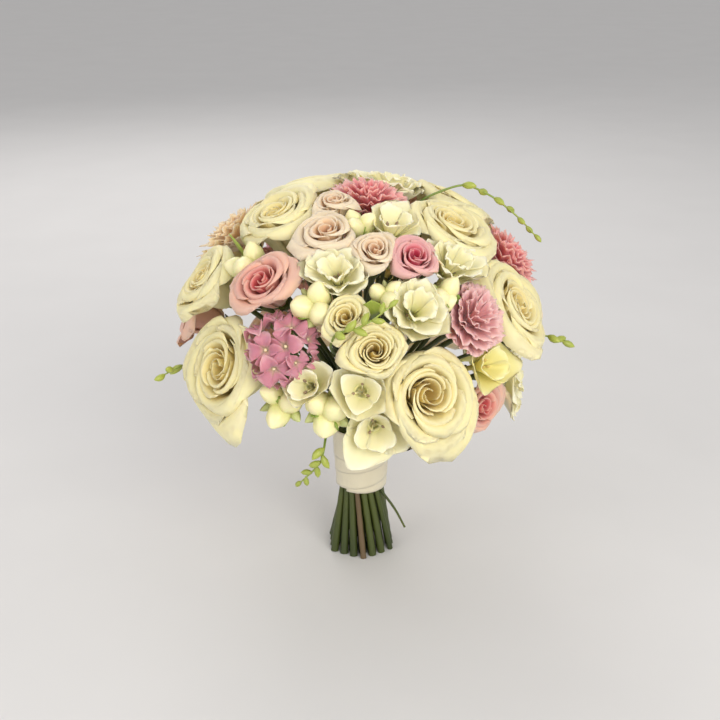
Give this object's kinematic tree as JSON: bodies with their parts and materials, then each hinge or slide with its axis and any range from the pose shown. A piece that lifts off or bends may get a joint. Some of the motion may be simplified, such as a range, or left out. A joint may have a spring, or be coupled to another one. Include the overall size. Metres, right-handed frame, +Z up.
{
  "type": "bridal bouquet",
  "caption": "Domed hand-tied bridal bouquet of cream and pink roses, freesias, carnations and hydrangea on ribbon-wrapped cut stems.",
  "frame": {"origin": "on the surface the cut stems stand on, below the centre of the box the bouquet fills", "axes": "+Z up along the handle, -Y towards the side seen in the picture, +X to the right of that side"},
  "size_m": [0.2972, 0.2746, 0.2979],
  "materials": {
    "cream_rose_left": "petals, soft and faintly waxy",
    "cream_rose_top_left": "petals, soft and faintly waxy",
    "cream_rose_front": "petals, soft and faintly waxy",
    "cream_rose_middle": "petals, soft and faintly waxy",
    "cream_rose_small": "petals, soft and faintly waxy",
    "cream_rose_top_right": "petals, soft and faintly waxy",
    "cream_rose_right": "petals, soft and faintly waxy",
    "cream_rose_left_behind": "petals, soft and faintly waxy",
    "cream_rose_back_left": "petals, soft and faintly waxy",
    "cream_rose_back": "petals, soft and faintly waxy",
    "cream_rose_back_right": "petals, soft and faintly waxy",
    "cream_rose_back_top": "petals, soft and faintly waxy",
    "cream_rose_back_crown": "petals, soft and faintly waxy",
    "pink_rose_left": "petals, soft and faintly waxy",
    "pink_rose_top": "petals, soft and faintly waxy",
    "pink_rose_right": "petals, soft and faintly waxy",
    "pink_rose_back_left": "petals, soft and faintly waxy",
    "pink_rose_back": "petals, soft and faintly waxy",
    "pink_rose_back_low": "petals, soft and faintly waxy",
    "blush_rose_top": "petals, soft and faintly waxy",
    "blush_rose_middle": "petals, soft and faintly waxy",
    "blush_rose_left": "petals, soft and faintly waxy",
    "blush_rose_back": "petals, soft and faintly waxy",
    "blush_rose_back_left": "petals, soft and faintly waxy",
    "blush_rose_right": "petals, soft and faintly waxy",
    "carnation_pink": "petals, soft and faintly waxy",
    "carnation_top": "petals, soft and faintly waxy",
    "carnation_back_left": "petals, soft and faintly waxy",
    "carnation_back_right": "petals, soft and faintly waxy",
    "hydrangea_front": "petals, soft and faintly waxy",
    "hydrangea_back": "petals, soft and faintly waxy",
    "freesia_front_left": "petals, soft and faintly waxy",
    "freesia_front": "petals, soft and faintly waxy",
    "freesia_ruffled": "petals, soft and faintly waxy",
    "freesia_top_right": "petals, soft and faintly waxy",
    "freesia_right": "petals, soft and faintly waxy",
    "freesia_top_left": "petals, soft and faintly waxy",
    "freesia_low": "petals, soft and faintly waxy",
    "freesia_top": "petals, soft and faintly waxy",
    "freesia_crown": "petals, soft and faintly waxy",
    "freesia_left_low": "petals, soft and faintly waxy",
    "freesia_right_low": "petals, soft and faintly waxy",
    "freesia_back_top": "petals, soft and faintly waxy",
    "freesia_back_low": "petals, soft and faintly waxy",
    "buds_left": "smooth green bud and leaf skin",
    "buds_middle": "smooth green bud and leaf skin",
    "buds_top": "smooth green bud and leaf skin",
    "buds_low": "smooth green bud and leaf skin",
    "buds_centre": "smooth green bud and leaf skin",
    "buds_right": "smooth green bud and leaf skin",
    "buds_low_left": "smooth green bud and leaf skin",
    "sprig_middle": "smooth green bud and leaf skin",
    "sprig_low": "smooth green bud and leaf skin",
    "sprig_top_right": "smooth green bud and leaf skin",
    "sprig_left": "smooth green bud and leaf skin",
    "sprig_right": "smooth green bud and leaf skin",
    "leaf_middle": "smooth green bud and leaf skin",
    "leaf_left": "smooth green bud and leaf skin",
    "stems": "smooth green stem skin, pale where it is cut",
    "ribbon": "satin"
  },
  "bodies": {
    "root": {"cream_rose_left": "cream_rose_left", "cream_rose_top_left": "cream_rose_top_left", "cream_rose_front": "cream_rose_front", "cream_rose_middle": "cream_rose_middle", "cream_rose_small": "cream_rose_small", "cream_rose_top_right": "cream_rose_top_right", "cream_rose_right": "cream_rose_right", "cream_rose_left_behind": "cream_rose_left_behind", "cream_rose_back_left": "cream_rose_back_left", "cream_rose_back": "cream_rose_back", "cream_rose_back_right": "cream_rose_back_right", "cream_rose_back_top": "cream_rose_back_top", "cream_rose_back_crown": "cream_rose_back_crown", "pink_rose_left": "pink_rose_left", "pink_rose_top": "pink_rose_top", "pink_rose_right": "pink_rose_right", "pink_rose_back_left": "pink_rose_back_left", "pink_rose_back": "pink_rose_back", "pink_rose_back_low": "pink_rose_back_low", "blush_rose_top": "blush_rose_top", "blush_rose_middle": "blush_rose_middle", "blush_rose_left": "blush_rose_left", "blush_rose_back": "blush_rose_back", "blush_rose_back_left": "blush_rose_back_left", "blush_rose_right": "blush_rose_right", "carnation_pink": "carnation_pink", "carnation_top": "carnation_top", "carnation_back_left": "carnation_back_left", "carnation_back_right": "carnation_back_right", "hydrangea_front": "hydrangea_front", "hydrangea_back": "hydrangea_back", "freesia_front_left": "freesia_front_left", "freesia_front": "freesia_front", "freesia_ruffled": "freesia_ruffled", "freesia_top_right": "freesia_top_right", "freesia_right": "freesia_right", "freesia_top_left": "freesia_top_left", "freesia_low": "freesia_low", "freesia_top": "freesia_top", "freesia_crown": "freesia_crown", "freesia_left_low": "freesia_left_low", "freesia_right_low": "freesia_right_low", "freesia_back_top": "freesia_back_top", "freesia_back_low": "freesia_back_low", "buds_left": "buds_left", "buds_middle": "buds_middle", "buds_top": "buds_top", "buds_low": "buds_low", "buds_centre": "buds_centre", "buds_right": "buds_right", "buds_low_left": "buds_low_left", "sprig_middle": "sprig_middle", "sprig_low": "sprig_low", "sprig_top_right": "sprig_top_right", "sprig_left": "sprig_left", "sprig_right": "sprig_right", "leaf_middle": "leaf_middle", "leaf_left": "leaf_left", "stems": "stems", "ribbon": "ribbon"}
  },
  "joints": []
}
